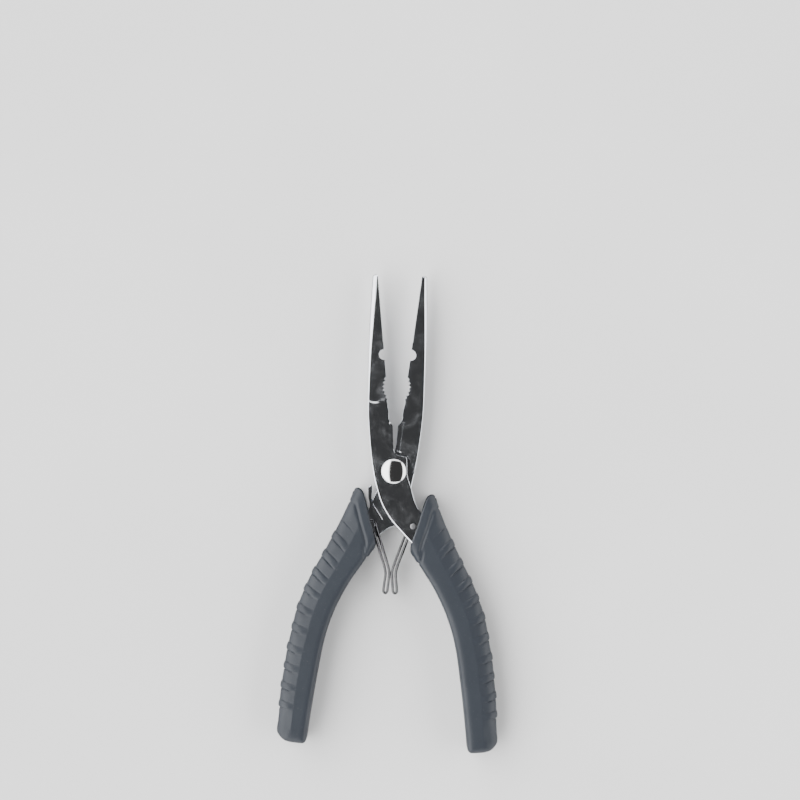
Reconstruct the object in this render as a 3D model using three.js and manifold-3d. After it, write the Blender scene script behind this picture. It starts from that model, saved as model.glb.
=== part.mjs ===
// Long-nose fishing pliers with a lap joint, two hairpin return springs and slide-on rubber grips.
// They lie flat with the jaws towards +Y, held open by the springs. Millimetres, +Z up.
//
// Both forged halves start from one pattern, drawn with the jaws closed and the pivot at the origin:
// its jaw is on the +X side, its tang on the -X side, and its half of the lap joint lies below z = 0.
// The back half is that pattern. The front half is the same pattern turned over about Y.
import * as THREE from 'three';
import { mergeVertices } from 'three/addons/utils/BufferGeometryUtils.js';
import Module from 'manifold-3d';

const wasm = await Module();
wasm.setup();

// ---- Driving dimensions -------------------------------------------------------------------------
const openAngle = THREE.MathUtils.degToRad(6.33); // each half, from jaws closed to sprung open
const jawLength = 68.1; // pivot to nose tip
const plateThickness = 4; // each layer of the lap joint
const lapGap = 0.05; // from the joint's middle plane to each plate
const jawHalfThickness = 3.4; // where the jaw leaves the joint
const tipHalfThickness = 1.3;
const meetingGap = 0.05; // from the closing plane to each jaw face

const pivotRadius = 2.5;
const pivotClearance = 0.05;
const pivotHeadRadius = 4.3;
const frontHeadHeight = 1.5;
const backHeadHeight = 1.0;

const pocketRadius = 6.8; // round recess in a jaw that takes the other half's boss
const bladeTop = 17.2; // where the side cutter ends and the full jaw begins
const bladeOverlap = 0.85; // how far each cutter edge passes the closing plane
const bladeRecess = 1.0; // how far the full jaw is set back to let the other blade pass
const crimpRadius = 1.85;
const crimpY = 40.3;

const springWire = 0.9;
const springPinRadius = 1.0;
const springPinAt = new THREE.Vector2(-5.1, -19.4); // on the pattern's tang
const springPinHeadRadius = 1.35;

const gripHalfThickness = 6.3;
const gripCornerRadius = 3.4;
const tangClearance = 0.3;
const mouthHalfHeight = 4.4; // of the slot where a tang enters its grip
const ribCount = 10;
const ribHeight = 0.5;
const frontGripSlip = new THREE.Vector2(-0.9, -1.7); // the front half's grip sits a little further down its tang

// ---- Outlines of the pattern, from nose tip to tang end -----------------------------------------
const jawOuter = [[1.9, jawLength], [3.65, 56.5], [4.9, 46], [6.3, 32], [7.2, 22], [7.5, 13], [7.4, 4.5], [7, -2.3]];
const frontHeel = [[6.4, -6], [5.5, -9.9], [4.3, -13.1], [2.3, -16.8], [-0.5, -20.6], [-2.5, -23.2]];
const backHeel = [[6.7, -7], [6, -11], [4.8, -15], [3, -18.4], [0.2, -20.4], [-2, -22.8]];
const tangInner = [[-5, -26.4], [-9.8, -34], [-13.4, -42], [-16, -50], [-17.7, -58], [-18.9, -70], [-19.3, -86]];
const tangOuter = [[-9.5, -17.5], [-12.6, -23.5], [-17.3, -33], [-20.6, -42], [-22.9, -51], [-24.3, -60], [-24.8, -70],
  [-24.9, -86]];
const bossEdge = [[-5, -4.2], [-4.52, -2], [-4.74, 2.05], [-4.82, 4.05]];
const bossCorner = [[-4.68, 4.42], [-4.35, 4.62], [-3.6, 4.85], [-2.6, 5.1], [-0.95, 5.95]];
const frontBossFoot = [[-8.7, -15.9], [-7.4, -13.4], [-6.35, -10.5], [-5.45, -6]];
// The back half's outer edge rises into a hook that holds line in a notch beside the joint.
const backBossFoot = [[-7.2, -15.2], [-6.45, -13.2], [-6.2, -11.6], [-5.75, -10.2], [-5.4, -9.1], [-4.95, -7.3]];
const lineHook = [[-7.1, -15.8], [-6.55, -14.2], [-6.62, -12.45], [-7.02, -11.1], [-7.41, -10.1], [-7.72, -8.4],
  [-8.04, -7.2], [-7.95, -6.7], [-7.59, -6.15], [-7.2, -5.72], [-6.85, -5.85], [-6.63, -6.5], [-6.48, -7.55],
  [-6.39, -8.93], [-6.31, -9.95], [-6, -11], [-5.4, -12.4], [-5.2, -14.2]];
const lineHookTop = 0.9;

// ---- Small helpers ------------------------------------------------------------------------------
const vec2 = (points) => points.map(([x, y]) => new THREE.Vector2(x, y));
const smooth = (points, steps) => new THREE.SplineCurve(vec2(points)).getPoints(steps);

function solid(geometry) {
  const bare = geometry.clone();
  bare.deleteAttribute('normal');
  bare.deleteAttribute('uv');
  const merged = mergeVertices(bare, 1e-4);
  return new wasm.Manifold(new wasm.Mesh({
    numProp: 3,
    vertProperties: Float32Array.from(merged.attributes.position.array),
    triVerts: Uint32Array.from(merged.index.array),
  }));
}

function geometryOf(manifold) {
  const mesh = manifold.getMesh();
  const geometry = new THREE.BufferGeometry();
  geometry.setAttribute('position', new THREE.BufferAttribute(mesh.vertProperties, 3));
  geometry.setIndex(new THREE.BufferAttribute(mesh.triVerts, 1));
  geometry.computeVertexNormals();
  return geometry;
}

// A flat outline raised from z = low to z = high.
function slab(outline, low, high) {
  const shape = outline instanceof THREE.Shape ? outline : new THREE.Shape(outline);
  const geometry = new THREE.ExtrudeGeometry(shape, { depth: high - low, bevelEnabled: false, curveSegments: 24 });
  return solid(geometry.translate(0, 0, low));
}

function upright(radius, low, high, x = 0, y = 0, segments = 48) {
  const geometry = new THREE.CylinderGeometry(radius, radius, high - low, segments);
  return solid(geometry.rotateX(Math.PI / 2).translate(x, y, (low + high) / 2));
}

// A closed outline moved outwards by a distance, corner by corner.
function grown(outline, distance) {
  const turn = THREE.ShapeUtils.isClockWise(outline) ? -1 : 1;
  return outline.map((point, i) => {
    const before = outline[(i + outline.length - 1) % outline.length];
    const after = outline[(i + 1) % outline.length];
    const a = point.clone().sub(before).normalize();
    const b = after.clone().sub(point).normalize();
    const normal = new THREE.Vector2(a.y + b.y, -(a.x + b.x)).normalize();
    const stretch = Math.max(normal.dot(new THREE.Vector2(a.y, -a.x)), 0.5);
    return point.clone().addScaledVector(normal, turn * distance / stretch);
  });
}

// ---- The forged halves --------------------------------------------------------------------------
// The jaw's working edge from the joint up to the nose tip.
function jawInner() {
  const edge = vec2([[-0.5, 9], [-0.62, 12], [-bladeOverlap, 15.6], [meetingGap, bladeTop], [0.35, 18.4], [0.15, 20.5],
    [0.45, 24.3]]);
  const teeth = 6;
  const toothDepth = 0.5;
  const hollowBottom = 24.9;
  const hollowTop = 32.6;
  const hollowDepth = 1.3;
  for (let i = 0; i <= 2 * teeth; i++) {
    const across = i / (2 * teeth);
    const bow = 0.35 + hollowDepth * Math.sin(Math.PI * across) ** 0.8;
    const x = Math.max(bow - (i % 2 ? 0 : toothDepth), meetingGap);
    edge.push(new THREE.Vector2(x, hollowBottom + across * (hollowTop - hollowBottom)));
  }
  edge.push(new THREE.Vector2(meetingGap, 33.2), new THREE.Vector2(meetingGap, crimpY - crimpRadius));
  for (let i = 1; i < 12; i++) {
    const angle = -Math.PI / 2 + (Math.PI * i) / 12;
    edge.push(new THREE.Vector2(meetingGap + crimpRadius * Math.cos(angle), crimpY + crimpRadius * Math.sin(angle)));
  }
  edge.push(new THREE.Vector2(meetingGap, crimpY + crimpRadius));
  const grooves = 24;
  const grooveDepth = 0.18;
  const groovesBottom = 44.5;
  const pitch = (jawLength - 1 - groovesBottom) / grooves;
  for (let i = 0; i < grooves; i++) {
    const y = groovesBottom + i * pitch;
    edge.push(new THREE.Vector2(meetingGap, y), new THREE.Vector2(meetingGap + grooveDepth, y + pitch / 2));
  }
  edge.push(new THREE.Vector2(meetingGap, jawLength - 1), new THREE.Vector2(0.25, jawLength));
  return edge;
}

// How thick the half is along its length, cut from the side.
function sideProfile() {
  const step = 24; // the outer face drops from the plate's level to the nose's here
  const tail = -100;
  const profile = new THREE.Shape(vec2([[tail, -plateThickness], [step - 0.6, -plateThickness],
    [step + 0.6, -jawHalfThickness], [46, -2.6], [jawLength + 1, -tipHalfThickness], [jawLength + 1, tipHalfThickness],
    [46, 2.6], [step, jawHalfThickness], [tail, jawHalfThickness]]));
  const width = 60;
  const geometry = new THREE.ExtrudeGeometry(profile, { depth: width, bevelEnabled: false });
  const lengthUpWidth = new THREE.Matrix4().makeBasis(
    new THREE.Vector3(0, 1, 0), new THREE.Vector3(0, 0, 1), new THREE.Vector3(1, 0, 0));
  return solid(geometry.applyMatrix4(lengthUpWidth).translate(-width / 2 - 10, 0, 0));
}

// Everything above the lap plane that makes room for the other half: its boss, its blade and its tang.
function lapRecess() {
  const room = new THREE.Shape();
  room.moveTo(-40, bladeTop);
  room.lineTo(bladeRecess, bladeTop);
  const start = Math.acos(bladeRecess / pocketRadius);
  room.lineTo(bladeRecess, pocketRadius * Math.sin(start));
  room.absarc(0, 0, pocketRadius, start, 0, true);
  room.lineTo(9, 0);
  room.lineTo(9, -100);
  room.lineTo(-40, -100);
  return slab(room, -lapGap, plateThickness + 1);
}

// The shallow facet ground on the blade's outer face.
function bladeGrind() {
  const section = new THREE.Shape(vec2([[3, -plateThickness - 0.4], [-1.5, -plateThickness - 0.4],
    [-1.5, -plateThickness + 0.5]]));
  const length = 10;
  const geometry = new THREE.ExtrudeGeometry(section, { depth: length, bevelEnabled: false });
  return solid(geometry.rotateX(Math.PI / 2).translate(0, bladeTop, 0));
}

function forgedHalf({ heel, outerEdge }) {
  const innerSide = smooth([...heel.slice(-1), ...tangInner], 28).slice(1);
  const outerSide = smooth(tangOuter, 28).reverse();
  const outline = [
    ...smooth([...jawOuter, ...heel], 60), ...innerSide, ...outerSide, ...vec2(outerEdge), ...vec2(bossCorner),
    ...jawInner(),
  ];
  return slab(outline, -plateThickness, plateThickness)
    .intersect(sideProfile())
    .subtract(lapRecess())
    .subtract(bladeGrind())
    .subtract(upright(pivotRadius + pivotClearance, -10, 10))
    .subtract(upright(springPinRadius + pivotClearance, -10, 10, springPinAt.x, springPinAt.y, 24));
}

const frontHalf = () => forgedHalf({ heel: frontHeel, outerEdge: [...frontBossFoot, ...bossEdge] });

const backHalf = () => forgedHalf({ heel: backHeel, outerEdge: [...backBossFoot, ...bossEdge] })
  .add(slab(vec2(lineHook), -plateThickness + 0.05, lineHookTop));

// ---- Rivets -------------------------------------------------------------------------------------
// A dome's outline from its rim up to the axis, standing on z = base.
function dome(radius, height, base, steps = 6) {
  return Array.from({ length: steps + 1 }, (_, i) => {
    const angle = (Math.PI / 2) * (i / steps);
    return new THREE.Vector2(radius * Math.cos(angle), base + height * Math.sin(angle));
  });
}

function turned(profile, segments = 40) {
  return new THREE.LatheGeometry(profile, segments).rotateX(Math.PI / 2);
}

function pivotRivet() {
  const seat = plateThickness + lapGap;
  const backDome = dome(pivotHeadRadius - 0.3, backHeadHeight, seat).map((p) => new THREE.Vector2(p.x, -p.y)).reverse();
  const profile = [...backDome, new THREE.Vector2(pivotRadius, -seat), new THREE.Vector2(pivotRadius, seat),
    ...dome(pivotHeadRadius, frontHeadHeight, seat)];
  profile[0].x = 0;
  profile.at(-1).x = 0;
  return turned(profile);
}

// A pin through a tang: flush outside, with a small head inside that keeps the spring's eye on.
function springPin() {
  const headBase = springWire + 0.15;
  const headTop = headBase + 0.35;
  return turned(vec2([[0, -plateThickness], [springPinRadius, -plateThickness], [springPinRadius, headBase],
    [springPinHeadRadius, headBase], [springPinHeadRadius - 0.2, headTop], [0, headTop]]), 24);
}

// ---- Hairpin springs ----------------------------------------------------------------------------
// The left one, drawn where it rests: an eye round the pin, a leg down to the middle, where it bears
// on its twin, a tight bend and a second leg back up to the pin.
function wireSection(sides) {
  const corners = Array.from({ length: sides }, (_, i) => {
    const angle = (2 * Math.PI * i) / sides;
    return new THREE.Vector2(Math.cos(angle), Math.sin(angle)).multiplyScalar(springWire / 2);
  });
  return new THREE.Shape(corners);
}

function hairpin(pin) {
  const eyeRadius = springPinRadius + springWire / 2 + 0.1;
  const eyeHeight = lapGap + springWire / 2 + 0.02;
  const bearing = -(springWire / 2 + 0.03);
  const path = [];
  for (let degrees = 215; degrees >= 25; degrees -= 19) {
    const angle = THREE.MathUtils.degToRad(degrees);
    const x = pin.x + eyeRadius * Math.cos(angle);
    path.push(new THREE.Vector3(x, pin.y + eyeRadius * Math.sin(angle), eyeHeight));
  }
  const legs = [[-5.25, -20.2, 0.48], [-4.15, -23.4, 0.4], [-2.65, -27.7, 0.25], [-1.2, -32, 0.1],
    [bearing, -34.9, 0], [-0.6, -37.6, 0], [-0.85, -40.2, 0], [-1, -41.5, 0], [-1.4, -42.1, 0], [-1.85, -42.15, 0],
    [-2.25, -41.7, 0], [-2.25, -40.5, 0], [-1.95, -37.9, 0], [-1.75, -35.5, 0], [-2.2, -33.1, 0.1],
    [-3.95, -27.9, 0.25], [-5.45, -23.6, 0.4], [-6.4, -21, 0.48]];
  legs.forEach(([x, y, z]) => path.push(new THREE.Vector3(x, y, z)));
  const curve = new THREE.CatmullRomCurve3(path, false, 'centripetal');
  return new THREE.ExtrudeGeometry(wireSection(8), { extrudePath: curve, steps: 70 });
}

// ---- Rubber grips -------------------------------------------------------------------------------
const gripOuter = [[-9.6, -1], [-13.2, -11], [-15.6, -18.8], [-18, -25.8], [-20.5, -32.4], [-23, -38.7], [-24.9, -44.9],
  [-26.4, -51.7], [-27.1, -58.8], [-27.7, -65.8], [-27.8, -72.4], [-27.9, -79.1], [-27.6, -85.6], [-27.4, -92.4],
  [-27.3, -99.2]];
const gripInner = [[4, -12], [1.5, -17], [-1.2, -22.3], [-3.6, -28], [-6.2, -33], [-9.2, -38.8], [-11.6, -44.6],
  [-13.4, -50.2], [-14.8, -56.5], [-15.6, -62.8], [-16, -69.6], [-16.3, -76.8], [-16.5, -84.2], [-16.6, -91.5],
  [-16.6, -99.2]];
const gripMouth = [[-3.4, -28], [-3, -26.6], [-3.2, -24.6], [-4.3, -21.8], [-6.1, -17.9], [-7.7, -13.9], [-9.2, -10.3],
  [-10.3, -8.3], [-11.6, -7.8], [-12.8, -9.4]];
const gripTail = [[-30, -93], [-27.4, -93.4], [-26.4, -95.3], [-24.3, -96.8], [-22, -97.2], [-17.8, -97], [-16.7, -95.8]];

// One cross-section: a rounded rectangle between the inner and outer edges.
function gripSection(outer, inner, swell) {
  const middle = outer.clone().add(inner).multiplyScalar(0.5);
  const across = outer.clone().sub(inner);
  const halfWidth = across.length() / 2;
  across.normalize();
  const ring = [];
  const cornerSteps = 3;
  for (let corner = 0; corner < 4; corner++) {
    const side = corner === 0 || corner === 3 ? 1 : -1;
    const up = corner < 2 ? 1 : -1;
    for (let i = 0; i <= cornerSteps; i++) {
      const angle = (Math.PI / 2) * (corner + i / cornerSteps);
      const outboard = side * (halfWidth - gripCornerRadius) + gripCornerRadius * Math.cos(angle);
      const height = up * (gripHalfThickness - gripCornerRadius) + gripCornerRadius * Math.sin(angle);
      const rib = outboard > 0 ? swell * Math.cos(angle) ** 2 : 0;
      const at = middle.clone().addScaledVector(across, outboard + rib);
      ring.push(new THREE.Vector3(at.x, at.y, height));
    }
  }
  return ring;
}

// A closed skin through rings of equal length, with a fan over each end.
function loft(rings) {
  const count = rings[0].length;
  const middleOf = (ring) => ring.reduce((sum, p) => sum.add(p), new THREE.Vector3()).divideScalar(count);
  const points = [...rings.flat(), middleOf(rings[0]), middleOf(rings.at(-1))];
  const index = [];
  for (let r = 0; r + 1 < rings.length; r++) {
    for (let i = 0; i < count; i++) {
      const [a, b] = [r * count + i, r * count + ((i + 1) % count)];
      index.push(a, a + count, b, b, a + count, b + count);
    }
  }
  const last = (rings.length - 1) * count;
  for (let i = 0; i < count; i++) {
    const next = (i + 1) % count;
    index.push(points.length - 2, i, next, points.length - 1, last + next, last + i);
  }
  const geometry = new THREE.BufferGeometry().setFromPoints(points);
  geometry.setIndex(index);
  return geometry;
}

// The grip's body with its ribs: each swells towards the tail and ends in a sharp step.
function ribbedBody() {
  const outer = new THREE.SplineCurve(vec2(gripOuter));
  const inner = new THREE.SplineCurve(vec2(gripInner));
  const spans = gripOuter.length - 1;
  const firstRib = 2;
  const swells = [[0.5, 0], [0.62, 0.7], [0.8, 1], [0.95, 0.85], [1, 0]];
  const rings = [];
  for (let span = 0; span < spans; span++) {
    const ribbed = span >= firstRib && span < firstRib + ribCount;
    for (const [along, swell] of ribbed ? swells : [[0.5, 0], [1, 0]]) {
      const t = (span + along) / spans;
      rings.push(gripSection(outer.getPoint(t), inner.getPoint(t), ribbed ? ribHeight * swell : 0));
    }
  }
  return solid(loft(rings));
}

// What the smooth outline keeps of the body: the slanted mouth, the lobe above it and the rounded tail.
function gripEnvelope() {
  const outline = [
    ...smooth(gripMouth, 30), ...vec2([[-20, -24], [-30, -60]]), ...smooth(gripTail, 20), ...vec2([[-12, -90]]),
  ];
  return slab(outline, -gripHalfThickness - 1, gripHalfThickness + 1);
}

// The tang with some room round it, and a taller slot for it just inside the mouth.
function tangCavity() {
  const tang = [
    ...vec2([[-7.6, -10], [2, -20.6], [-2, -22.8]]), ...smooth(tangInner, 20), ...smooth(tangOuter, 20).reverse(),
  ];
  const room = grown(tang, tangClearance);
  const nearMouth = vec2([[-11, -13], [6, -13], [6, -32], [-4.6, -32], [-8.6, -28], [-12.2, -20]]);
  return slab(room, -plateThickness - tangClearance, tangClearance)
    .add(slab(room, -mouthHalfHeight, mouthHalfHeight)
      .intersect(slab(nearMouth, -mouthHalfHeight - 1, mouthHalfHeight + 1)));
}

function grip(slip) {
  const body = ribbedBody().intersect(gripEnvelope());
  return body.translate([slip.x, slip.y, 0]).subtract(tangCavity());
}

// ---- Assembly -----------------------------------------------------------------------------------
const steel = () => new THREE.MeshStandardMaterial({ color: 0xb9bcc0, roughness: 0.22, metalness: 1 });
const polishedSteel = () => new THREE.MeshStandardMaterial({ color: 0xd9dbde, roughness: 0.08, metalness: 1 });
const springSteel = () => new THREE.MeshStandardMaterial({ color: 0xa9abb0, roughness: 0.25, metalness: 1 });
const rubber = () => new THREE.MeshStandardMaterial({ color: 0x454b54, roughness: 0.75, metalness: 0 });

function piece(name, geometry, material) {
  const mesh = new THREE.Mesh(geometry, material);
  mesh.name = name;
  return mesh;
}

const pliers = new THREE.Group();

const backSide = new THREE.Group();
backSide.rotation.z = -openAngle;
backSide.add(
  piece('back_half', geometryOf(backHalf()), steel()),
  piece('left_grip', geometryOf(grip(new THREE.Vector2())), rubber()),
);

const frontSide = new THREE.Group();
frontSide.rotation.set(0, Math.PI, openAngle, 'ZYX');
frontSide.add(
  piece('front_half', geometryOf(frontHalf()), steel()),
  piece('right_grip', geometryOf(grip(frontGripSlip)), rubber()),
);
pliers.add(backSide, frontSide, piece('pivot_rivet', pivotRivet(), polishedSteel()));

for (const [side, half] of [['left', backSide], ['right', frontSide]]) {
  const pin = piece(`${side}_spring_rivet`, springPin(), polishedSteel());
  pin.position.set(springPinAt.x, springPinAt.y, 0);
  half.add(pin);
}
const restingPin = springPinAt.clone().rotateAround(new THREE.Vector2(), -openAngle);
const rightSpring = piece('right_spring', hairpin(restingPin), springSteel());
rightSpring.rotation.y = Math.PI;
pliers.add(piece('left_spring', hairpin(restingPin), springSteel()), rightSpring);

// The frame's origin is under the middle of the whole object, on the surface it lies on.
const bounds = new THREE.Box3().setFromObject(pliers);
pliers.position.set(-(bounds.min.x + bounds.max.x) / 2, -(bounds.min.y + bounds.max.y) / 2, -bounds.min.z);

export default pliers;
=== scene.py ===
"""Long-nose fishing pliers with a lap joint, two hairpin springs and ribbed rubber grips.

Both forged halves come from one pattern, drawn in millimetres with the jaws closed and the pivot at the
origin: jaw on +X, tang on -X, its half of the lap joint below z = 0. The back half is that pattern
and the front half is the same pattern turned over about Y.
"""

import math

import bmesh
import bpy
import numpy as np
from mathutils import Matrix, Vector


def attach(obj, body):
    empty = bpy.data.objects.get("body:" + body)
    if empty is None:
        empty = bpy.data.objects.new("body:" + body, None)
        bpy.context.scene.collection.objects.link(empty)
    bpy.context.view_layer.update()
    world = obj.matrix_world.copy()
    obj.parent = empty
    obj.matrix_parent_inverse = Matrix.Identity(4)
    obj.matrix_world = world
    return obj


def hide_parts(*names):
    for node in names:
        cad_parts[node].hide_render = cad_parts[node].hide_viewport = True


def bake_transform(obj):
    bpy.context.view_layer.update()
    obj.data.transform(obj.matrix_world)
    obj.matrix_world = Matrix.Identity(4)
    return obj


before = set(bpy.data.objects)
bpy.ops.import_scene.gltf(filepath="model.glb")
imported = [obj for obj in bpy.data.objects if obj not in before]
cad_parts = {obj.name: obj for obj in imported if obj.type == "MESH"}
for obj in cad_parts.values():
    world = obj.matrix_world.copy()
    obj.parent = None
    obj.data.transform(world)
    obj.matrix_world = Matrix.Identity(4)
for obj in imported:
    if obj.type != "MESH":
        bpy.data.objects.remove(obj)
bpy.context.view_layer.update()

MM = 0.001
PIVOT = Vector((-0.541, 13.7263, 6.3))  # in the row frame
OPEN_ANGLE = math.radians(6.33)
SHRINK = Matrix.Scale(MM, 4)
BACK = SHRINK @ Matrix.Translation(PIVOT) @ Matrix.Rotation(-OPEN_ANGLE, 4, "Z")
OVER = Matrix.Rotation(math.pi, 4, "Y")
FRONT = SHRINK @ Matrix.Translation(PIVOT) @ Matrix.Rotation(OPEN_ANGLE, 4, "Z") @ OVER
UNTURNED = SHRINK @ Matrix.Translation(PIVOT)
TURNED_OVER = UNTURNED @ OVER

# ---- Dimensions of the forged halves ------------------------------------------------------------
JAW_LENGTH = 68.1
PLATE = 4.0  # each layer of the lap joint
LAP = -0.05  # the lap plane of the pattern's own layer
JAW_HALF = 3.4
POCKET_RADIUS = 6.8
BLADE_TOP = 17.2
BLADE_RECESS = 1.0
HORN_EDGE = 0.004  # rounding where the horn's wall meets its top and the shelf
FACET_SLOPE = 0.2
PIVOT_HOLE = 2.55
PIN_AT = (-5.1, -19.4)
PIN_HOLE = 1.05

JAW_OUTER = [(1.9, 68.1), (3.65, 56.5), (4.9, 46), (6.3, 32), (7.2, 22), (7.5, 13), (7.4, 4.5), (7, -2.3)]
FRONT_HEEL = [(6.4, -6), (5.5, -9.9), (4.3, -13.1), (2.3, -16.8), (-0.5, -20.6), (-2.5, -23.2)]
BACK_HEEL = [(6.7, -7), (6, -11), (4.8, -15), (3, -18.4), (0.2, -20.4), (-2, -22.8)]
TANG_INNER = [(-5, -26.4), (-9.8, -34), (-13.4, -42), (-16, -50), (-17.7, -58), (-18.9, -70), (-19.3, -86)]
TANG_OUTER = [(-9.5, -17.5), (-12.6, -23.5), (-17.3, -33), (-20.6, -42), (-22.9, -51), (-24.3, -60), (-24.8, -70),
              (-24.9, -86)]
BOSS_CORNER = [(-0.95, 5.95), (-2.6, 5.1), (-3.6, 4.85), (-4.35, 4.62), (-4.68, 4.42), (-4.82, 4.05)]
BOSS_EDGE = [(-4.82, 4.05), (-4.74, 2.05), (-4.52, -2), (-5, -4.2)]
FRONT_BOSS_FOOT = [(-5.45, -6), (-6.35, -10.5), (-7.4, -13.4), (-8.7, -15.9), (-9.5, -17.5)]
BACK_BOSS_FOOT = [(-4.95, -7.3), (-5.4, -9.1), (-5.75, -10.2), (-6.2, -11.6), (-6.45, -13.2), (-7.2, -15.2),
                  (-9.5, -17.5)]
HOOK = [(-7.1, -15.8), (-6.55, -14.2), (-6.62, -12.45), (-7.02, -11.1), (-7.41, -10.1), (-7.72, -8.4), (-8.04, -7.2),
        (-7.95, -6.7), (-7.59, -6.15), (-7.2, -5.72), (-6.85, -5.85), (-6.63, -6.5), (-6.48, -7.55), (-6.39, -8.93),
        (-6.31, -9.95), (-6.0, -11.0), (-5.4, -12.4), (-5.2, -14.2)]
SHOULDER_LINE = [(-6.9, -10.4), (-5.86, -11.64), (-4.77, -13.23), (-3.4, -14.9), (-1.5, -17.2)]

# Height of the jaw's two faces and the rounding of its outer edges, against distance from the pivot.
FACE_AT = ([-90, 24, 46, 69.1], [JAW_HALF, JAW_HALF, 2.6, 1.3])
ROUNDING_ROWS = [-90, -26, -3, 5, 20, 32, 40, 46, 52, 60, 68.1]
ROUNDING_ACROSS = [0.5, 0.6, 0.55, 0.3, 0.25, 0.5, 0.8, 1.15, 1.5, 1.7, 1.4]
ROUNDING_DOWN = [0.5, 0.6, 0.55, 0.3, 0.25, 0.45, 0.65, 0.85, 1.1, 1.3, 1.1]
INNER_BEVEL_AT = ([-90, -12, -6, 4.6, 5.3, 44, 45, 69], [0.4, 0.3, 0.16, 0.16, 0.07, 0.07, 0.04, 0.04])

# ---- Dimensions of the grips --------------------------------------------------------------------
GRIP_HALF = 6.1  # the raised rim stands on this
GRIP_ROUNDING = 3.4
FLANK_SLOPE = 0.22
FLANK_REACH = ([2, 12], [6.6, 4.9])  # how far in from the outer edge the ribbed flank comes
FRONT_GRIP_SLIP = Vector((-0.9, -1.7, 0))
GRIP_OUTER = [(-9.6, -1), (-13.2, -11), (-15.6, -18.8), (-18, -25.8), (-20.5, -32.4), (-23, -38.7), (-24.9, -44.9),
              (-26.4, -51.7), (-27.1, -58.8), (-27.7, -65.8), (-27.8, -72.4), (-27.9, -79.1), (-27.6, -85.6),
              (-27.4, -92.4)]
GRIP_INNER = [(4, -12), (1.5, -17), (-1.2, -22.3), (-3.6, -28), (-6.2, -33), (-9.2, -38.8), (-11.6, -44.6),
              (-13.4, -50.2), (-14.8, -56.5), (-15.6, -62.8), (-16, -69.6), (-16.3, -76.8), (-16.5, -84.2),
              (-16.6, -91.5)]
GRIP_TAIL_OUTER = [(-27.4, -92.4), (-27.2, -94), (-26.3, -95.4), (-24.5, -96.7), (-22.4, -97.15), (-20.2, -97.15)]
GRIP_TAIL_INNER = [(-16.6, -91.5), (-16.65, -95), (-16.9, -96.2), (-17.7, -96.95), (-18.8, -97.1), (-20.2, -97.15)]
GRIP_RIM = [(-12.8, -9.4), (-12.5, -8.4), (-11.6, -7.8), (-10.3, -8.3), (-9.2, -10.3), (-7.7, -13.9), (-6.1, -17.9),
            (-4.3, -21.8), (-3.2, -24.6), (-3, -26.6), (-3.4, -28)]
RIM_START = 0.85  # where the rim meets the outer edge, counted in points of GRIP_OUTER
RIM_END = 3.0  # where it meets the inner edge
RIB_SPANS = (2, 12)


# ---- Curves and numbers -------------------------------------------------------------------------
def spline(points, steps):
    """Points along the centripetal Catmull-Rom curve through the given ones, both ends included."""
    p = np.array(points, float)
    p = np.vstack([2 * p[0] - p[1], p, 2 * p[-1] - p[-2]])
    knots = np.concatenate([[0], np.cumsum(np.sqrt(np.linalg.norm(np.diff(p, axis=0), axis=1)))])
    out = []
    for t in np.linspace(0, len(p) - 3, steps):
        i = min(int(t), len(p) - 4)
        k0, k1, k2, k3 = knots[i:i + 4]
        k = k1 + (k2 - k1) * (t - i)
        a1 = ((k1 - k) * p[i] + (k - k0) * p[i + 1]) / (k1 - k0)
        a2 = ((k2 - k) * p[i + 1] + (k - k1) * p[i + 2]) / (k2 - k1)
        a3 = ((k3 - k) * p[i + 2] + (k - k2) * p[i + 3]) / (k3 - k2)
        b1 = ((k2 - k) * a1 + (k - k0) * a2) / (k2 - k0)
        b2 = ((k3 - k) * a2 + (k - k1) * a3) / (k3 - k1)
        out.append(((k2 - k) * b1 + (k - k1) * b2) / (k2 - k1))
    return np.array(out)


def smoothstep(value, low, high):
    t = np.clip((value - low) / (high - low), 0, 1)
    return t * t * (3 - 2 * t)


def unit(v):
    return v / np.maximum(np.linalg.norm(v, axis=-1, keepdims=True), 1e-9)


def evenly(points, fractions):
    """Points of a polyline at fractions of its length."""
    length = np.concatenate([[0], np.cumsum(np.linalg.norm(np.diff(points, axis=0), axis=1))])
    return np.stack([np.interp(np.array(fractions) * length[-1], length, points[:, k])
                     for k in range(points.shape[1])], axis=-1)


# ---- Meshes -------------------------------------------------------------------------------------
def lofted(rings):
    """A closed mesh through rings of equal length."""
    rings = np.asarray(rings, float)
    count = rings.shape[1]
    bm = bmesh.new()
    vertices = [[bm.verts.new(point) for point in ring] for ring in rings]
    for low, high in zip(vertices, vertices[1:]):
        for i in range(count):
            j = (i + 1) % count
            bm.faces.new((low[i], low[j], high[j], high[i]))
    bm.faces.new(vertices[0][::-1])
    bm.faces.new(vertices[-1])
    bmesh.ops.remove_doubles(bm, verts=bm.verts, dist=2e-4)
    bmesh.ops.dissolve_degenerate(bm, dist=1e-4, edges=bm.edges)
    bmesh.ops.recalc_face_normals(bm, faces=bm.faces)
    return bm


def object_from(bm, name):
    mesh = bpy.data.meshes.new(name)
    bm.to_mesh(mesh)
    bm.free()
    thing = bpy.data.objects.new(name, mesh)
    bpy.context.scene.collection.objects.link(thing)
    return thing


def combined(target, tool, operation):
    """target with tool cut out of it or joined to it; tool is used up."""
    modifier = target.modifiers.new("shape", "BOOLEAN")
    modifier.operation = operation
    modifier.solver = "MANIFOLD"
    modifier.object = tool
    graph = bpy.context.evaluated_depsgraph_get()
    made = bpy.data.meshes.new_from_object(target.evaluated_get(graph))
    target.modifiers.clear()
    target.data = made
    bpy.data.objects.remove(tool)
    return target


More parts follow.
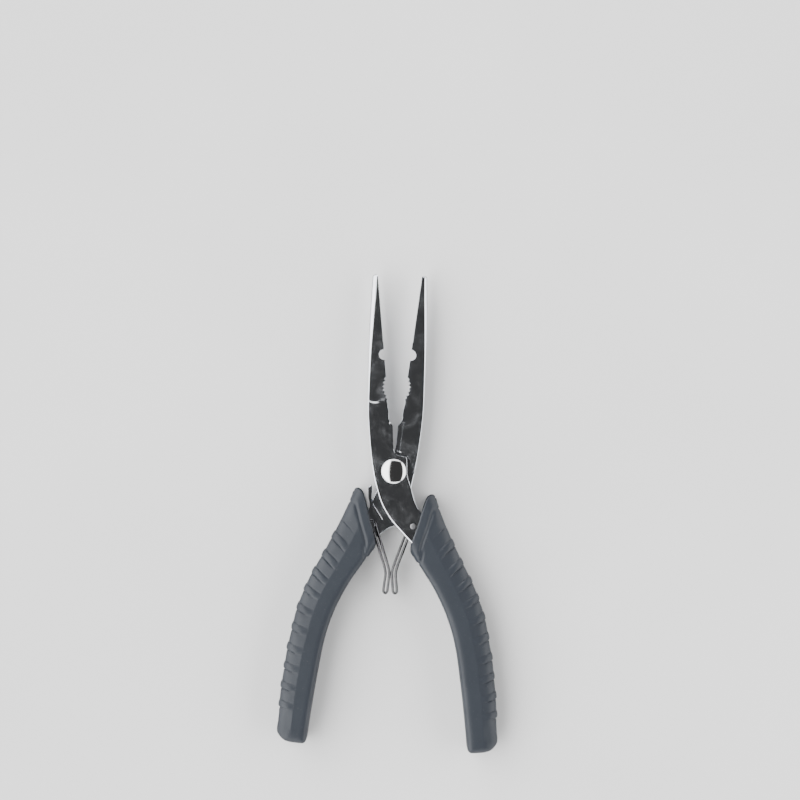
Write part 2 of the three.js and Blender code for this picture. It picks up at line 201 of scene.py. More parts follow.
def upright(radius, low, high, x=0.0, y=0.0, sides=64):
    turn = np.linspace(0, 2 * math.pi, sides, endpoint=False)
    rings = [[(x + radius * math.cos(a), y + radius * math.sin(a), z) for a in turn] for z in (low, high)]
    return object_from(lofted(rings), "cutter")


def turned(profile, sides, x=0.0, y=0.0):
    """A solid of revolution about a line parallel to Z. The profile runs from the axis back to the axis."""
    turn = np.linspace(0, 2 * math.pi, sides, endpoint=False)
    rings = [[(x + r * math.cos(a), y + r * math.sin(a), z) for a in turn] for r, z in profile[1:-1]]
    return lofted(rings)


def finished(thing, matrix, material, sharp=38.0):
    """Puts a piece in the row frame and gives it its material and its shading."""
    thing.data.transform(matrix)
    if matrix.determinant() < 0:
        thing.data.flip_normals()
    thing.data.materials.clear()
    thing.data.materials.append(material)
    for polygon in thing.data.polygons:
        polygon.use_smooth = True
    thing.data.set_sharp_from_angle(angle=math.radians(sharp))
    weighted = thing.modifiers.new("normals", "WEIGHTED_NORMAL")
    weighted.keep_sharp = True
    weighted.weight = 60
    return thing


def corner(point, normal, face, up, across, segments, down=None):
    """A rounded edge of a section, from the flat face to the wall."""
    turn = np.linspace(0, math.pi / 2, segments + 1)
    inset = across * (1 - np.sin(turn))
    plan = point[None, :] - normal[None, :] * inset[:, None]
    return np.column_stack([plan, face - up * (down or across) * (1 - np.cos(turn))])


def between(a, b, fractions):
    return np.array([a + (b - a) * f for f in fractions])


# ---- The forged halves --------------------------------------------------------------------------
def working_edge():
    """The jaw's inner edge from the nose tip down to the joint."""
    edge = [(0.25, JAW_LENGTH), (0.05, JAW_LENGTH - 1)]
    grooves, groove_depth, low, high = 24, 0.2, 44.5, JAW_LENGTH - 1
    pitch = (high - low) / grooves
    for i in range(grooves):
        top = high - i * pitch
        edge += [(0.05 + groove_depth, top - pitch / 2), (0.05, top - pitch)]
    crimp_radius, crimp_y = 1.85, 40.3
    for degrees in range(90, -91, -12):
        a = math.radians(degrees)
        edge.append((0.05 + crimp_radius * math.cos(a), crimp_y + crimp_radius * math.sin(a)))
    edge.append((0.05, 33.2))
    teeth, tooth_depth = 6, 0.75
    for i in range(2 * teeth, -1, -1):
        across = i / (2 * teeth)
        bow = 0.35 + 1.3 * max(math.sin(math.pi * across), 0) ** 0.8
        edge.append((max(bow - (0 if i % 2 else tooth_depth), 0.05), 24.9 + across * 7.7))
    edge += [(0.45, 24.3), (0.15, 20.5), (0.35, 18.4), (0.05, BLADE_TOP), (-0.85, 15.6), (-0.62, 12), (-0.5, 9)]
    edge += [(-0.6, 7.2)]
    return edge


def with_rows(edge, rows, longest):
    """The polyline with a vertex at each of the given heights and none further apart than longest."""
    out = [np.array(edge[0], float)]
    for a, b in zip(edge, edge[1:]):
        a, b = np.array(a, float), np.array(b, float)
        stops = {1.0}
        if a[1] - b[1] > 1e-6:
            stops |= {(a[1] - y) / (a[1] - b[1]) for y in rows if b[1] < y < a[1]}
        pieces = max(1, math.ceil(np.linalg.norm(b - a) / longest))
        stops |= {k / pieces for k in range(1, pieces)}
        last = 0.0
        for stop in sorted(stops):
            if stop - last > 1e-3:
                out.append(a + (b - a) * stop)
                last = stop
    return np.array(out)


def edge_normals(points):
    """Unit normals of a polyline that runs down the left side of the material, pointing away from it."""
    along = unit(np.diff(points, axis=0))
    sides = np.column_stack([along[:, 1], -along[:, 0]])
    return np.vstack([sides[:1], unit(sides[:-1] + sides[1:]), sides[-1:]])


def outer_face(x, y):
    """Depth of the outer face: plate level at the joint, a curved step, then the tapering nose."""
    past = y - (24 + 0.1 * np.maximum(x - 4, 0) ** 2)
    ramp = 0.6 + 0.5 * np.maximum(4.2 - x, 0)
    share = smoothstep(past, -ramp, ramp)
    return -(PLATE + (np.interp(y, *FACE_AT) - PLATE) * share)


def blade_facet(y):
    """Width of the ground facet behind the cutting edge, with a little chatter from the wheel."""
    reach = 1 - ((y - 12.3) / 4.8) ** 2
    if reach <= 0:
        return 0.0
    return 2.1 * math.sqrt(reach) + 0.06 * math.sin(17 * y) * math.sin(5.3 * y)


def section(left, left_normal, right, right_normal, kind):
    """One ring of the pattern: kind is full (whole jaw), horn (beside the pocket) or flat (lap layer)."""
    y = left[1]
    tip = max(0.0, 0.75 - (JAW_LENGTH - y))
    shrink = 0.75 - math.sqrt(0.75 ** 2 - tip ** 2)
    left = left + np.array([shrink * 0.35, 0])
    right = right - np.array([shrink * 0.9, 0])
    width = right[0] - left[0]
    top = float(np.interp(y, *FACE_AT)) - shrink
    rounding = min(float(np.interp(y, ROUNDING_ROWS, ROUNDING_ACROSS)), width * 0.8)
    deepening = min(float(np.interp(y, ROUNDING_ROWS, ROUNDING_DOWN)), top * 0.92)
    bevel = min(float(np.interp(y, *INNER_BEVEL_AT)), width * 0.2)
    facet = blade_facet(y)

    deep_left = float(outer_face(left[0], y)) + shrink
    deep_right = float(outer_face(right[0], y)) + shrink
    low_left = corner(left, left_normal, deep_left, -1, bevel, 4)[::-1]
    if facet > bevel:
        start = np.array([*left, deep_left + facet * FACET_SLOPE])
        low_left = between(start, np.array([*(left - left_normal * facet), deep_left]), np.linspace(0, 1, 5))
    low_right = corner(right, right_normal, deep_right, -1, rounding, 8, deepening)
    under = between(low_left[-1], low_right[0], (0.08, 0.2, 0.34, 0.48, 0.62, 0.76, 0.9))
    under[:, 2] = [float(outer_face(x, yy)) + shrink for x, yy, _ in under]

    fillet = np.linspace(0, math.pi / 2, 5)
    if kind == "flat":
        rounding = min(rounding, 0.35)
        high_right = corner(right, right_normal, LAP, 1, rounding, 8)[::-1]
        inboard = high_right[-1, 0] - POCKET_RADIUS if abs(y) < 1e-6 else 1.0
        over = between(high_right[-1], high_right[-1] - np.array([inboard, 0, 0]), np.linspace(1 / 13, 1, 13))
    else:
        if kind == "full":
            wall, wall_normal = left, left_normal
        elif y > 6.72:
            wall, wall_normal = np.array([BLADE_RECESS, y]), np.array([-1.0, 0.0])
        else:
            wall = np.array([math.sqrt(POCKET_RADIUS ** 2 - y * y), y])
            wall_normal = -wall / POCKET_RADIUS
        if kind == "horn":
            room = right[0] - wall[0]
            rounding = min(rounding, room * 0.45)
            wall_bevel = min(HORN_EDGE, room * 0.3)
        else:
            wall_bevel = bevel
        high_right = corner(right, right_normal, top, 1, rounding, 8, deepening)[::-1]
        high_left = corner(wall, wall_normal, top, 1, wall_bevel, 4)
        across = between(high_right[-1], high_left[0], (0.25, 0.5, 0.75))
        out = HORN_EDGE * (1 - np.cos(fillet)) if kind == "horn" else np.zeros(len(fillet))
        foot = np.column_stack([wall[None, :] + wall_normal[None, :] * out[:, None],
                                LAP + HORN_EDGE * (1 - np.sin(fillet))])
        over = np.vstack([across, high_left, foot])
    shelf = corner(left, left_normal, LAP, 1, min(bevel, 0.3), 4)
    if kind == "full" or abs(y - BLADE_TOP) < 1e-6:
        shelf[:, :2] = left
        shelf[:, 2] = LAP - np.linspace(0, 0.4, 5)
    return np.vstack([low_left, under, low_right, high_right, over, shelf])


def forged_half(name, heel, boss_foot):
    boss = np.vstack([BOSS_CORNER[:-1], spline(BOSS_EDGE + boss_foot, 60)])
    tang = spline(TANG_OUTER, 50)
    edge = working_edge() + [tuple(p) for p in boss] + [tuple(p) for p in tang[1:]]
    rows = [BLADE_TOP, 0.0, 6.72, 7.1, 17.1]
    rows += [POCKET_RADIUS * math.cos(math.radians(a)) for a in range(14, 88, 6)]
    rows += list(np.arange(22.2, 27.2, 0.22)) + [JAW_LENGTH - e for e in (0.7, 0.55, 0.4, 0.25, 0.12, 0.05, 0.01)]
    left = with_rows(edge, rows, 0.9)
    normals = edge_normals(left)
    outline = spline(JAW_OUTER + heel + TANG_INNER, 500)
    slope = np.gradient(outline, axis=0)
    outline_normals = unit(np.column_stack([-slope[:, 1], slope[:, 0]]))
    order = outline[::-1]
    rings = []
    for point, normal in zip(left, normals):
        y = point[1]
        right = np.array([np.interp(y, order[:, 1], order[:, 0]), y])
        right_normal = np.array([np.interp(y, order[:, 1], outline_normals[::-1, k]) for k in range(2)])
        if abs(y - BLADE_TOP) < 1e-6:
            kinds = ("full", "horn")
        elif abs(y) < 1e-6:
            kinds = ("horn", "flat")
        else:
            kinds = ("full",) if y > BLADE_TOP else ("horn",) if y > 0 else ("flat",)
        for kind in kinds:
            rings.append(section(point, normal, right, right_normal, kind))
    return object_from(lofted(rings), name)


def drilled(half):
    combined(half, upright(PIVOT_HOLE, -9, 9, sides=96), "DIFFERENCE")
    return combined(half, upright(PIN_HOLE, -9, 9, *PIN_AT, sides=48), "DIFFERENCE")


def line_hook():
    """The finger that stands on the back half's outer edge, with a slanted top."""
    outline = spline(HOOK + HOOK[:1], 90)[:-1]
    along = unit(np.roll(outline, -1, axis=0) - np.roll(outline, 1, axis=0))
    normals = np.column_stack([along[:, 1], -along[:, 0]])
    area = np.sum(outline[:, 0] * np.roll(outline[:, 1], -1) - outline[:, 1] * np.roll(outline[:, 0], -1))
    normals *= np.sign(area)
    y = outline[:, 1]
    top = -0.3 + 1.2 * smoothstep(y, -14, -10.5) - 0.35 * np.maximum(y + 8, 0)
    bevel = 0.06 + 0.4 * smoothstep(normals[:, 1], 0.25, 0.6) * smoothstep(y, -8, -7)
    rings = []
    for degrees in range(0, 91, 15):
        a = math.radians(degrees)
        inset = bevel * (1 - math.sin(a))
        rings.append(np.column_stack([outline - normals * inset[:, None], top - bevel * 1.3 * (1 - math.cos(a))]))
    for degrees in range(90, -1, -30):
        a = math.radians(degrees)
        inset = 0.2 * (1 - math.sin(a))
        low = np.full(len(outline), -3.93 + 0.2 * (1 - math.cos(a)))
        rings.append(np.column_stack([outline - normals * inset, low]))
    return object_from(lofted(rings), "hook")


def shoulder_groove():
    """Cuts the fine line that runs from the hook's notch across the tang."""
    line = spline(SHOULDER_LINE, 24)
    along = unit(np.gradient(line, axis=0))
    side = np.column_stack([-along[:, 1], along[:, 0]])
    rings = [[(*(p - s * 0.06), 1.6), (*(p - s * 0.06), LAP + 0.02), (*p, LAP - 0.07), (*(p + s * 0.2), LAP + 0.02),
              (*(p + s * 0.2), 1.6)] for p, s in zip(line, side)]
    return object_from(lofted(rings), "groove")


# ---- Rivets -------------------------------------------------------------------------------------
def pivot_rivet():
    seat, radius, high, low = PLATE + 0.05, 4.3, 1.5, 1.0
    profile = [(0, -seat - low)]
    for degrees in range(86, -1, -5):
        a = math.radians(degrees)
        profile.append(((radius - 0.3) * math.cos(a), -seat - 0.15 - (low - 0.15) * math.sin(a)))
    profile += [(radius - 0.32, -seat), (2.5, -seat), (2.5, seat), (radius - 0.05, seat), (radius, seat + 0.06)]
    for degrees in list(range(4, 85, 4)) + [87]:
        a = math.radians(degrees)
        profile.append((radius * math.cos(a), seat + 0.2 + (high - 0.2) * math.sin(a)))
    profile.append((0, seat + high))
    return object_from(turned(profile, 96), "pivot_rivet_turned")


def spring_pin(name):
    """A pin through a tang: a faintly crowned outer end and a small head that keeps the spring's eye on."""
    base, top, head, radius = 1.05, 1.4, 1.35, 1.0
    profile = [(0, -PLATE - 0.03), (0.15, -PLATE - 0.03), (0.6, -PLATE - 0.025), (0.88, -PLATE - 0.01),
               (0.96, -PLATE + 0.02), (radius, -PLATE + 0.08), (radius, base), (head - 0.05, base),
               (head, base + 0.05), (head, top - 0.16), (head - 0.06, top - 0.05), (head - 0.2, top),
               (0.3, top + 0.04), (0, top + 0.04)]
    return object_from(turned(profile, 48, *PIN_AT), name)


# ---- Hairpin springs ----------------------------------------------------------------------------
def hairpin(name):
    """Drawn where the left one rests: an eye round the pin, a leg to the middle, a tight bend, a leg back."""
    wire, sides = 0.45, 16
    cos, sin = math.cos(-OPEN_ANGLE), math.sin(-OPEN_ANGLE)
    pin = (PIN_AT[0] * cos - PIN_AT[1] * sin, PIN_AT[0] * sin + PIN_AT[1] * cos)
    path = []
    for degrees in range(215, 24, -19):
        a = math.radians(degrees)
        path.append((pin[0] + 1.55 * math.cos(a), pin[1] + 1.55 * math.sin(a), 0.52))
    path += [(-5.25, -20.2, 0.48), (-4.15, -23.4, 0.4), (-2.65, -27.7, 0.25), (-1.2, -32, 0.1), (-0.48, -34.9, 0),
             (-0.6, -37.6, 0), (-0.85, -40.2, 0), (-1, -41.5, 0), (-1.4, -42.1, 0), (-1.85, -42.15, 0),
             (-2.25, -41.7, 0), (-2.25, -40.5, 0), (-1.95, -37.9, 0), (-1.75, -35.5, 0), (-2.2, -33.1, 0.1),
             (-3.95, -27.9, 0.25), (-5.45, -23.6, 0.4), (-6.4, -21, 0.48)]
    line = evenly(spline(path, 1200), np.linspace(0, 1, 190))
    along = unit(np.gradient(line, axis=0))
    side = unit(np.cross(along, np.array([0.0, 0.0, 1.0])))
    over = np.cross(side, along)
    thickness = np.full(len(line), wire)
    thickness[[0, -1]] = wire * 0.55
    thickness[[1, -2]] = wire * 0.93
    turn = np.linspace(0, 2 * math.pi, sides, endpoint=False)
    rings = [line[i] + thickness[i] * (np.outer(np.cos(turn), side[i]) + np.outer(np.sin(turn), over[i]))
             for i in range(len(line))]
    return object_from(lofted(rings), name)


# ---- Rubber grips -------------------------------------------------------------------------------
COLUMNS = np.array([0, 0.01, 0.022, 0.037, 0.055, 0.077, 0.103, 0.135, 0.18, 0.24, 0.312, 0.33, 0.348, 0.42, 0.51,
                    0.6, 0.69, 0.77, 0.84, 0.89, 0.925, 0.952, 0.972, 0.988, 1])
CREASE = 11  # the column that runs along the flank's inner edge
WALL_LEVELS = (0.55, 0.0, -0.55)


def rib_profile(phase):
    """Height of the skin along one rib: a low pad, a fine crease, a round swelling, then a notch."""
    pad = 0.06 * np.sqrt(np.maximum(1 - ((phase - 0.3) / 0.3) ** 2, 0))
    crease = -0.1 * np.exp(-((phase - 0.6) / 0.025) ** 2)
    swelling = 0.4 * np.maximum(1 - ((phase - 0.8) / 0.2) ** 2, 0) ** 0.6
    notch = -0.2 * np.exp(-(np.minimum(phase, np.abs(phase - 1)) / 0.034) ** 2)
    return pad + crease + swelling + notch


def grip_plan():
    """Plan curves across the grip, from its outer edge to its inner edge, mouth first."""
    per_span = 240
    outer = spline(GRIP_OUTER, (len(GRIP_OUTER) - 1) * per_span + 1)
    inner = spline(GRIP_INNER, (len(GRIP_INNER) - 1) * per_span + 1)
    count = np.arange(len(outer)) / per_span

    def at(line, t):
        return np.stack([np.interp(t, count, line[:, k]) for k in range(2)], axis=-1)

    ribs = [0, 0.025, 0.05, 0.09, 0.17, 0.27, 0.37, 0.47, 0.54, 0.575, 0.6, 0.625, 0.66, 0.72, 0.79, 0.86, 0.92,
            0.95, 0.97, 0.985]
    stops = list(np.linspace(RIM_START, 2, 44)[:-1])
    stops += [span + part for span in range(*RIB_SPANS) for part in ribs]
    stops += list(np.linspace(RIB_SPANS[1], len(GRIP_OUTER) - 1.0, 9))
    stops = np.array(stops)
    inner_stops = np.interp(stops, [RIM_START, 1.5, 7, 14], [RIM_END, 3.84, 7, 14])
    starts, ends = at(outer, stops), at(inner, inner_stops)

    rim = evenly(spline(GRIP_RIM, 400), COLUMNS)
    tangents = unit(at(outer, np.minimum(stops + 0.05, count[-1])) - at(outer, stops - 0.05))
    inward = np.column_stack([-tangents[:, 1], tangents[:, 0]])
    lean = math.tan(math.radians(14))
    rim_line = spline(GRIP_RIM, 400)
    trial = np.linspace(0, 1, 40)
    curves = []
    for t, a, b, tangent, side in zip(stops, starts, ends, tangents, inward):
        bend = a + unit(side + tangent * lean) * np.linalg.norm(b - a) * 0.5
        share = smoothstep(t, RIM_START, 2.0)

        def across(u):
            u = np.asarray(u)[:, None]
            rim_part = evenly(rim_line, u[:, 0]) - (rim[0] + (rim[-1] - rim[0]) * u)
            bowed = (1 - u) ** 2 * a + 2 * u * (1 - u) * bend + u ** 2 * b
            return (a + (b - a) * u + rim_part) * (1 - share) + bowed * share

        gap, _ = nearest(across(trial), outer)
        inside = trial < 0.85
        crease = float(np.interp(np.interp(t, *FLANK_REACH), gap[inside], trial[inside]))
        crease = COLUMNS[CREASE] + (crease - COLUMNS[CREASE]) * smoothstep(t, 1.2, 2.0)
        curves.append(across(np.interp(COLUMNS, [0, COLUMNS[CREASE], 1], [0, crease, 1])))

    tail_outer = spline(GRIP_TAIL_OUTER, 200)
    tail_inner = spline(GRIP_TAIL_INNER, 200)
    fractions = [0.08, 0.17, 0.26, 0.35, 0.44, 0.53, 0.62, 0.7, 0.78, 0.85, 0.91, 0.96]
    for a, b in zip(evenly(tail_outer, fractions), evenly(tail_inner, fractions)):
        curves.append(a + (b - a) * COLUMNS[:, None])
    outline = np.vstack([outer, tail_outer, tail_inner[::-1], inner[::-1]])
    return np.array(curves), outer, count, inner, outline, rim


def nearest(points, line):
    """Distance from each point to a polyline's vertices, and the index of the closest."""
    flat = points.reshape(-1, 2)
    best = np.empty(len(flat))
    index = np.empty(len(flat), int)
    for start in range(0, len(flat), 500):
        gap = np.linalg.norm(flat[start:start + 500, None, :] - line[None, :, :], axis=2)
        index[start:start + 500] = gap.argmin(axis=1)
        best[start:start + 500] = gap.min(axis=1)
    return best.reshape(points.shape[:-1]), index.reshape(points.shape[:-1])


def ring_of(plan, height):
    """A closed ring: over the top, down the inner wall, back underneath and up the outer wall."""
    top = np.column_stack([plan, height])
    low = np.column_stack([plan, -height])[::-1]
    inner_wall = [(*plan[-1], level * height[-1]) for level in WALL_LEVELS]
    outer_wall = [(*plan[0], -level * height[0]) for level in WALL_LEVELS]
    return np.vstack([top, inner_wall, low, outer_wall])


def grip(name):
    curves, outer, count, inner, outline, rim = grip_plan()
    edge_gap, _ = nearest(curves, outline)
    into = np.clip(1 - edge_gap / np.interp(COLUMNS, [0.4, 1], [GRIP_ROUNDING, 1.9]), 0, 1)
    flank_gap, flank_index = nearest(curves, outer)
    flank_reach = np.interp(count[flank_index], *FLANK_REACH)
    slanted = FLANK_SLOPE * np.maximum(flank_reach - flank_gap, 0) * smoothstep(count[flank_index], 1.3, 2.0)
    wall = GRIP_HALF - GRIP_ROUNDING
    height = wall + (1 - into ** 2.5) ** 0.4 * (GRIP_ROUNDING - slanted)
    rings = np.array([ring_of(plan, high) for plan, high in zip(curves, height)])

    outer_gap, outer_index = nearest(rings[:, :, :2], outer)
    inner_gap, inner_index = nearest(rings[:, :, :2], inner)
    rim_gap, _ = nearest(rings[:, :, :2], spline(GRIP_RIM, 500))
    place = count[outer_index]
    phase = place - 0.036 * outer_gap
    reach = np.interp(place, *FLANK_REACH)
    ribbed = (phase > RIB_SPANS[0]) & (phase < RIB_SPANS[1] + 0.06)
    flank = 1 - smoothstep(outer_gap, reach * 0.62, reach * 0.97)
    swell = np.where(ribbed, rib_profile(phase % 1.0), 0) * flank
    plain = smoothstep(phase, RIB_SPANS[1], RIB_SPANS[1] + 0.4) * (1 - smoothstep(phase, 12.75, 13))
    swell -= 0.12 * plain * flank
    band = 0.2 * (1 - smoothstep(rim_gap, 2.1, 2.9))
    crease = -0.22 * np.exp(-((rim_gap - 3.15) / 0.42) ** 2)
    near_rim = count[outer_index] < 4.5
    lift = swell + np.where(near_rim, band + crease, 0)
    seam_span = smoothstep(count[inner_index], 3.2, 3.6) * (1 - smoothstep(count[inner_index], 8, 10))
    lift += 0.13 * np.exp(-((inner_gap - 0.5) / 0.22) ** 2) * seam_span * (np.abs(rings[:, :, 2]) > 2)

    down = np.gradient(rings, axis=0)
    across = np.roll(rings, -1, axis=1) - np.roll(rings, 1, axis=1)
    normals = unit(np.cross(across, down))
    middle = rings.mean(axis=1, keepdims=True)
    outward = np.sign(np.sum(normals * (rings - middle), axis=2).sum())
    rings = rings + normals * outward * lift[:, :, None]
    rings[:, :, 2] = np.clip(rings[:, :, 2], -PIVOT.z, PIVOT.z)

    mouth = mouth_rings(rings[0], rim)
    return object_from(lofted(np.concatenate([mouth, rings])), name)


def mouth_rings(first, rim):
    """The rounded lip round the mouth and the slot inside it, deepest ring first."""
    tangents = unit(np.gradient(rim, axis=0))
    forward = np.column_stack([-tangents[:, 1], tangents[:, 0]])
    columns = len(COLUMNS)
    walls = len(WALL_LEVELS)
    ahead = np.vstack([forward, [forward[-1]] * walls, forward[::-1], [forward[0]] * walls])
    share = np.concatenate([COLUMNS, [1.0] * walls, COLUMNS[::-1], [0.0] * walls])
    chord = unit((rim[-1] - rim[0])[None, :])[0]
    near_end = np.clip(1 - np.minimum(share, 1 - share) / 0.08, 0, 1)
    sideways = np.where(share < 0.5, 1.0, -1.0) * near_end
    lip = 0.8
    rolled = []
    for degrees in (78, 60, 42, 24, 10):
        a = math.radians(degrees)
        ring = first.copy()
        ring[:, :2] += ahead * (lip * math.cos(math.radians(90 - degrees)) * 0.55)
        drop = lip * (1 - math.cos(a))
        ring[:, 2] -= np.sign(ring[:, 2]) * np.minimum(drop, np.abs(ring[:, 2]) * 0.4)
        ring[:, :2] += chord[None, :] * (sideways * drop)[:, None]
        rolled.append(ring)

    slot_start, slot_end = np.array([-8.3, -14.3]), np.array([-3.15, -24.3])
    along = np.clip((share - 0.06) / 0.88, 0, 1)
    plan = slot_start + (slot_end - slot_start) * along[:, None]
    high = 2.7 + 1.7 * np.clip(np.minimum(share, 1 - share) / 0.06, 0, 1)
    level = np.concatenate([high[:columns], 2.7 * np.array(WALL_LEVELS), -high[columns + walls:2 * columns + walls],
                            -2.7 * np.array(WALL_LEVELS)])
    inwards = np.array([-0.52, -0.854])
    mouth_normal = np.array([0.9, 0.435])
    slot = []
    for depth, swell, ahead_by in ((7.0, 0, 0), (3.0, 0, 0), (0.9, 0, 0), (0.35, 0.1, 0), (0.05, 0.42, 0.1)):
        ring = np.column_stack([plan + inwards * depth + mouth_normal * ahead_by,
                                level + np.sign(level) * swell * (np.abs(level) > 2.6)])
        ring[:, :2] -= chord[None, :] * (np.where(share < 0.5, 1.0, -1.0) * near_end * swell)[:, None]
        slot.append(ring)
    return np.array(slot + rolled)


# ---- Materials ----------------------------------------------------------------------------------
class Nodes:
    """A small helper for building one material's or the world's node tree."""

    def __init__(self, tree):
        self.tree = tree

    def add(self, kind, inputs=None, **settings):
        node = self.tree.nodes.new(kind)
        for key, value in settings.items():
            setattr(node, key, value)
        for key, value in (inputs or {}).items():
            self.put(node.inputs[key], value)
        return node

    def put(self, socket, value):
        if isinstance(value, bpy.types.NodeSocket):
            self.tree.links.new(value, socket)
        else:
            socket.default_value = value

    def math(self, operation, a, b=0.0, c=0.0, clamp=False):
        node = self.add("ShaderNodeMath", {0: a, 1: b, 2: c}, operation=operation, use_clamp=clamp)
        return node.outputs[0]

    def ranged(self, value, from_low, from_high, to_low, to_high, smooth=True):
        node = self.add("ShaderNodeMapRange", {0: value, 1: from_low, 2: from_high, 3: to_low, 4: to_high},
                        interpolation_type="SMOOTHSTEP" if smooth else "LINEAR")
        return node.outputs[0]

    def noise(self, where, scale, detail=4.0, roughness=0.55, distortion=0.0):
        node = self.add("ShaderNodeTexNoise", {"Vector": where, "Scale": scale, "Detail": detail,
                                               "Roughness": roughness, "Distortion": distortion})
        return node.outputs["Fac"]

    def stretched(self, where, scale, turn=(0.0, 0.0, 0.0)):
        node = self.add("ShaderNodeMapping", {"Vector": where, "Scale": scale, "Rotation": turn})
        return node.outputs[0]

    def mixed(self, factor, a, b):
        node = self.add("ShaderNodeMix", data_type="RGBA")
        self.put(node.inputs[0], factor)
        self.put(node.inputs[6], a)
        self.put(node.inputs[7], b)
        return node.outputs[2]

    def bump(self, height, strength, distance, normal=None):
        inputs = {"Height": height, "Strength": strength, "Distance": distance}
        if normal is not None:
            inputs["Normal"] = normal
        return self.add("ShaderNodeBump", inputs).outputs[0]


def new_material(name):
    material = bpy.data.materials.new(name)
    material.use_nodes = True
    tree = material.node_tree
    tree.nodes.clear()
    n = Nodes(tree)
    output = n.add("ShaderNodeOutputMaterial")
    shader = n.add("ShaderNodeBsdfPrincipled")
    tree.links.new(shader.outputs[0], output.inputs[0])
    where = n.add("ShaderNodeTexCoord").outputs["Object"]
    return material, n, shader, where


def steel(name, tint, rough, grain_scale, grain_depth, smudge, haze=0.05, edge=1.0):
    """Polished metal: fine grinding lines, hazy smudges and a few stray scratches."""
    material, n, shader, where = new_material(name)
    lines = n.noise(n.stretched(where, grain_scale), 1.0, 3.0, 0.6)
    stray = n.noise(n.stretched(where, (5200.0, 420.0, 2600.0), (0.0, 0.0, 0.7)), 1.0, 2.0, 0.5)
    scratches = n.ranged(stray, 0.70, 0.76, 0.0, 1.0)
    cloud = n.noise(where, 210.0, 6.0, 0.62, 0.6)
    fine = n.noise(where, 900.0, 4.0, 0.6)
    patches = n.ranged(cloud, 0.42, 0.70, 0.0, 1.0)
    dark = [channel * 0.86 for channel in tint[:3]] + [1.0]
    n.put(shader.inputs["Base Color"], n.mixed(n.math("MULTIPLY", patches, 0.5), tint, dark))
    n.put(shader.inputs["Metallic"], 1.0)
    n.put(shader.inputs["Specular Tint"], (edge, edge, edge, 1.0))
    roughness = n.math("MULTIPLY_ADD", patches, smudge, rough)
    roughness = n.math("MULTIPLY_ADD", fine, haze, roughness)
    roughness = n.math("MULTIPLY_ADD", scratches, 0.08, roughness)
    n.put(shader.inputs["Roughness"], roughness)
    height = n.math("MULTIPLY_ADD", scratches, -0.6, lines)
    height = n.math("MULTIPLY_ADD", cloud, 0.5, height)
    n.put(shader.inputs["Normal"], n.bump(height, 0.35, grain_depth))
    return material


def rubber(name):
    """Matt moulded rubber: fine grain, a slight sheen where hands rub it and a dusting of lint-grey."""
    material, n, shader, where = new_material(name)
    cloud = n.noise(where, 60.0, 5.0, 0.6, 0.4)
    grain = n.noise(where, 3800.0, 3.0, 0.65)
    pores = n.add("ShaderNodeTexVoronoi", {"Vector": where, "Scale": 2400.0}).outputs["Distance"]
    specks = n.ranged(n.noise(where, 1500.0, 2.0, 0.5), 0.68, 0.74, 0.0, 1.0)
    deep = (0.0085, 0.0115, 0.0170, 1.0)
    worn = (0.0125, 0.0160, 0.0220, 1.0)
    dust = (0.10, 0.103, 0.108, 1.0)
    colour = n.mixed(n.ranged(cloud, 0.3, 0.7, 0.0, 1.0), deep, worn)
    n.put(shader.inputs["Base Color"], n.mixed(n.math("MULTIPLY", specks, 0.14), colour, dust))
    roughness = n.ranged(cloud, 0.25, 0.75, 0.48, 0.40)
    n.put(shader.inputs["Roughness"], n.math("MULTIPLY_ADD", grain, 0.12, roughness))
    n.put(shader.inputs["Specular IOR Level"], 0.34)
    height = n.math("MULTIPLY_ADD", pores, 0.5, grain)
    n.put(shader.inputs["Normal"], n.bump(height, 0.5, 0.00003))
    return material


def card(name):
    material, n, shader, where = new_material(name)
    fibre = n.noise(where, 700.0, 4.0, 0.6)
    tone = n.ranged(n.noise(where, 9.0, 3.0, 0.5), 0.3, 0.7, 0.0, 1.0)
    n.put(shader.inputs["Base Color"], n.mixed(tone, (0.61, 0.61, 0.61, 1.0), (0.64, 0.64, 0.64, 1.0)))
    n.put(shader.inputs["Roughness"], n.ranged(fibre, 0.3, 0.7, 0.75, 0.9))
    n.put(shader.inputs["Normal"], n.bump(fibre, 0.15, 0.00003))
    return material


forged = steel("forged_steel", (0.56, 0.575, 0.605, 1.0), 0.10, (2600.0, 240.0, 2600.0), 0.000008, 0.09)
polished = steel("polished_steel", (0.70, 0.70, 0.705, 1.0), 0.06, (900.0, 900.0, 900.0), 0.000002, 0.05, 0.02)
satin = steel("satin_steel", (0.27, 0.27, 0.28, 1.0), 0.36, (3200.0, 3200.0, 900.0), 0.000008, 0.08)
# Painted shade: the spring steel's very low base colour and dark edge tint darken the wires, their sides most, so
# they read dark against the pale floor.
sprung = steel("spring_steel", (0.10, 0.10, 0.104, 1.0), 0.20, (1500.0, 1500.0, 300.0), 0.000006, 0.06, 0.05, 0.12)
moulded = rubber("grip_rubber")
paper = card("pale_card")

# ---- Assembly -----------------------------------------------------------------------------------
front_half = drilled(forged_half("front_half_forging", FRONT_HEEL, FRONT_BOSS_FOOT))
back_half = combined(forged_half("back_half_forging", BACK_HEEL, BACK_BOSS_FOOT), line_hook(), "UNION")
combined(back_half, shoulder_groove(), "DIFFERENCE")
drilled(back_half)
right_grip = grip("right_grip_moulding")
right_grip.data.transform(Matrix.Translation(FRONT_GRIP_SLIP))

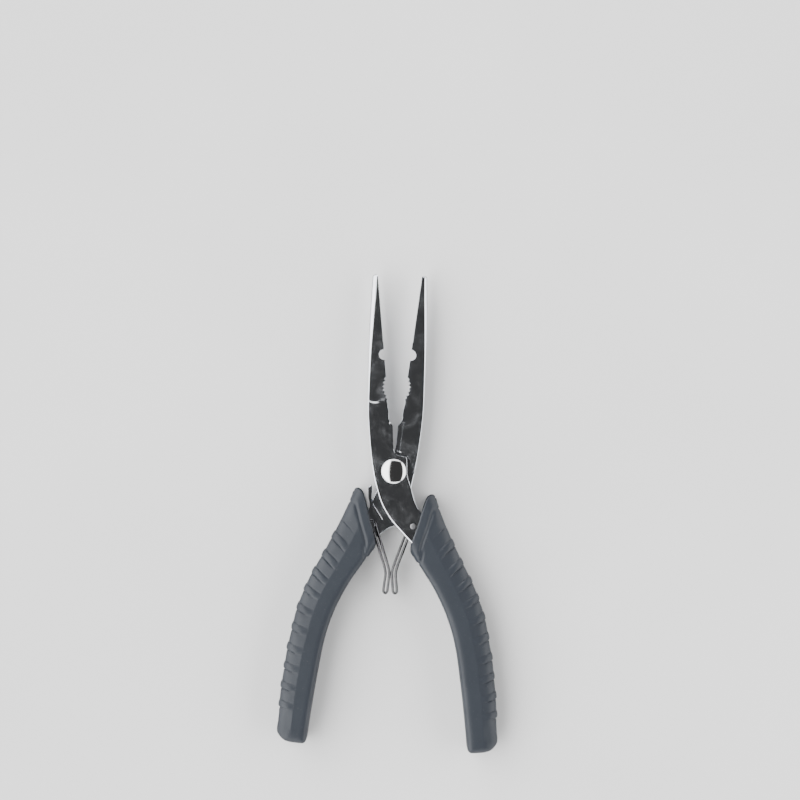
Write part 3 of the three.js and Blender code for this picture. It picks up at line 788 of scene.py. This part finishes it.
PIECES = [
    (back_half, BACK, forged, "back_side", "back_half", "forged_steel"),
    (front_half, FRONT, forged, "front_side", "front_half", "forged_steel"),
    (pivot_rivet(), UNTURNED, polished, "back_side", "pivot_rivet", "polished_steel"),
    (spring_pin("left_pin_turned"), BACK, forged, "back_side", "left_spring_rivet", "polished_steel"),
    (spring_pin("right_pin_turned"), FRONT, satin, "front_side", "right_spring_rivet", "polished_steel"),
    (grip("left_grip_moulding"), BACK, moulded, "back_side", "left_grip", "grip_rubber"),
    (right_grip, FRONT, moulded, "front_side", "right_grip", "grip_rubber"),
]
for piece, matrix, material, body, node, slot_name in PIECES:
    finished(piece, matrix, material)
    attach(piece, body)
    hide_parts(node)

SPRINGS = [
    ("left_spring_wire", UNTURNED, "back_side", "front_side", "left_spring", 1),
    ("right_spring_wire", TURNED_OVER, "front_side", "back_side", "right_spring", -1),
]
for name, matrix, body, other, node, side in SPRINGS:
    wire = finished(hairpin(name), matrix, sprung)
    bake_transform(wire)
    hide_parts(node)

# ---- Floor, light and camera --------------------------------------------------------------------
floor_mesh = bmesh.new()
bmesh.ops.create_grid(floor_mesh, x_segments=8, y_segments=8, size=6.0)
floor = object_from(floor_mesh, "floor")
floor.data.materials.append(paper)


def studio(world):
    """Soft boxes as bright parts of the surroundings: a large one on the left, smaller ones right and below."""
    world.use_nodes = True
    tree = world.node_tree
    tree.nodes.clear()
    n = Nodes(tree)
    output = n.add("ShaderNodeOutputWorld")
    background = n.add("ShaderNodeBackground")
    tree.links.new(background.outputs[0], output.inputs[0])
    facing = n.add("ShaderNodeTexCoord").outputs["Generated"]
    split = n.add("ShaderNodeSeparateXYZ", {0: facing})
    x, y, z = split.outputs
    above = n.ranged(z, 0.02, 0.12, 0.35, 1.0)
    left = n.math("MULTIPLY", n.ranged(x, -0.32, -0.20, 6.4, 0.0), above)
    right = n.math("MULTIPLY", n.ranged(x, 0.55, 0.66, 0.0, 4.8), above)
    near = n.math("MULTIPLY", n.ranged(y, -0.86, -0.76, 3.6, 0.0), above)
    far = n.math("MULTIPLY", n.ranged(y, 0.72, 0.86, 0.0, 3.0), above)
    boxes = n.math("MAXIMUM", n.math("MAXIMUM", left, right), n.math("MAXIMUM", near, far))
    n.put(background.inputs["Color"], (1.0, 1.0, 1.0, 1.0))
    n.put(background.inputs["Strength"], n.math("ADD", boxes, 0.06))


studio_world = bpy.data.worlds.new("studio")
studio(studio_world)
bpy.context.scene.world = studio_world

FIELD = 0.276  # width of the picture at the pliers
DISTANCE = 0.9
ROLL = math.radians(1.8)
camera_data = bpy.data.cameras.new("camera")
camera_data.sensor_width = 36.0
camera_data.lens = camera_data.sensor_width * DISTANCE / FIELD
camera = bpy.data.objects.new("camera", camera_data)
bpy.context.scene.collection.objects.link(camera)
camera.location = (PIVOT + Vector((1.35, 24.56, 0))) * MM + Vector((0, 0, DISTANCE))
camera.rotation_euler = (0, 0, ROLL)
bpy.context.scene.camera = camera
